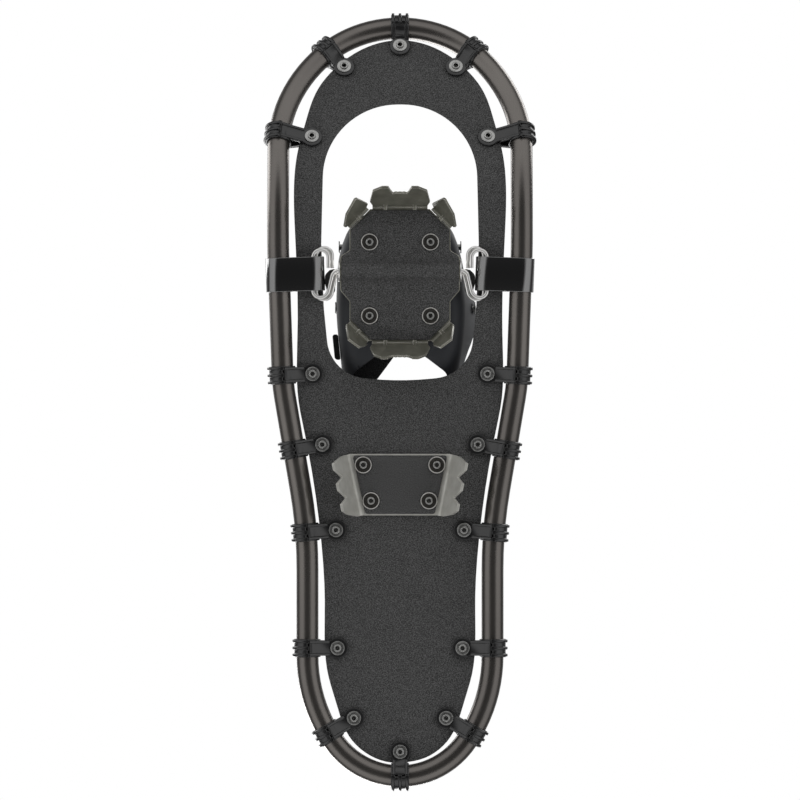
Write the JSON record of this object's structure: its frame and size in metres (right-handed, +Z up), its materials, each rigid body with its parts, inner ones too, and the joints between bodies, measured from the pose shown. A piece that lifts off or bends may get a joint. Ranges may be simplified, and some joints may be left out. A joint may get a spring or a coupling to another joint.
{
  "type": "snowshoe",
  "caption": "Snowshoe with an upturned bent-tube frame, riveted sheet deck, pivoting boot binding over a toothed crampon, and a toothed heel plate.",
  "frame": {"origin": "on the ground plane at the tooth tips, in the middle of the overall box seen from above", "axes": "+Y to the toe, +X to the walker's right, +Z up"},
  "size_m": [0.2248, 0.6418, 0.1232],
  "materials": {
    "tube": "satin dark bronze-grey coating on aluminium tube",
    "deck_sheet": "fine-grained coated sheet, charcoal",
    "rivet_steel": "plated steel",
    "clip_plastic": "moulded nylon, satin black",
    "crampon_steel": "coated carbon steel, worn at the teeth",
    "anti_ice_sheet": "grained sheet that sheds ice, charcoal",
    "coated_strap": "glossy coated webbing, black",
    "stainless_wire": "polished stainless wire",
    "cradle_rubber": "smooth thermoplastic elastomer, blue-black",
    "webbing": "woven polyester webbing, black",
    "heel_strap_rubber": "moulded rubber, black",
    "buckle_plastic": "moulded acetal, black"
  },
  "bodies": {
    "snowshoe_frame": {"axle_sleeve": "stainless_wire", "axle_washers": "rivet_steel", "axle_wire_lower": "stainless_wire", "axle_wire_upper": "stainless_wire", "clip_heel_left": "clip_plastic", "clip_heel_right": "clip_plastic", "clip_hip_left": "clip_plastic", "clip_hip_right": "clip_plastic", "clip_rear_left": "clip_plastic", "clip_rear_right": "clip_plastic", "clip_rivets": "rivet_steel", "clip_shoulder_left": "clip_plastic", "clip_shoulder_right": "clip_plastic", "clip_tail": "clip_plastic", "clip_tail_corner_left": "clip_plastic", "clip_tail_corner_right": "clip_plastic", "clip_toe": "clip_plastic", "clip_toe_corner_left": "clip_plastic", "clip_toe_corner_right": "clip_plastic", "clip_waist_left": "clip_plastic", "clip_waist_right": "clip_plastic", "clip_washers": "rivet_steel", "deck": "deck_sheet", "frame_tube": "tube", "heel_crampon": "crampon_steel", "heel_crampon_pad": "anti_ice_sheet", "heel_rest": "cradle_rubber", "heel_rivets": "rivet_steel", "heel_washers": "rivet_steel", "hinge_strap_left": "coated_strap", "hinge_strap_right": "coated_strap", "tail_splice": "tube", "wire_guard_left": "heel_strap_rubber", "wire_guard_right": "heel_strap_rubber"},
    "binding": {"binding_cradle": "cradle_rubber", "footbed": "cradle_rubber", "heel_buckle_frame": "buckle_plastic", "heel_buckle_pin": "stainless_wire", "heel_strap": "heel_strap_rubber", "instep_buckle_frame": "buckle_plastic", "instep_buckle_pin": "stainless_wire", "instep_strap": "webbing", "strap_guide": "buckle_plastic", "strap_rivets": "rivet_steel", "strap_tail": "webbing", "toe_buckle_frame": "buckle_plastic", "toe_buckle_pin": "stainless_wire", "toe_crampon": "crampon_steel", "toe_crampon_pad": "anti_ice_sheet", "toe_rivets": "rivet_steel", "toe_strap": "webbing", "toe_washers": "rivet_steel"},
    "toe_lever": {"toe_buckle_lever": "buckle_plastic"},
    "instep_lever": {"instep_buckle_lever": "buckle_plastic"},
    "heel_lever": {"heel_buckle_lever": "buckle_plastic"}
  },
  "joints": [
    {"name": "binding_pivot", "type": "hinge", "parent": "snowshoe_frame", "child": "binding", "pos_m": [0, 0.106, 0.02775], "axis": [-1, 0, 0], "range_deg": [0, 75]},
    {"name": "toe_lever_hinge", "type": "hinge", "parent": "binding", "child": "toe_lever", "pos_m": [0.02653, 0.126, 0.10377], "axis": [0, -1, 0], "range_deg": [0, 75]},
    {"name": "instep_lever_hinge", "type": "hinge", "parent": "binding", "child": "instep_lever", "pos_m": [0.02864, 0.076, 0.11955], "axis": [0, -1, 0], "range_deg": [0, 75]},
    {"name": "heel_lever_hinge", "type": "hinge", "parent": "binding", "child": "heel_lever", "pos_m": [0.04708, -0.03777, 0.0724], "axis": [0, 0, 1], "range_deg": [0, 75]}
  ]
}
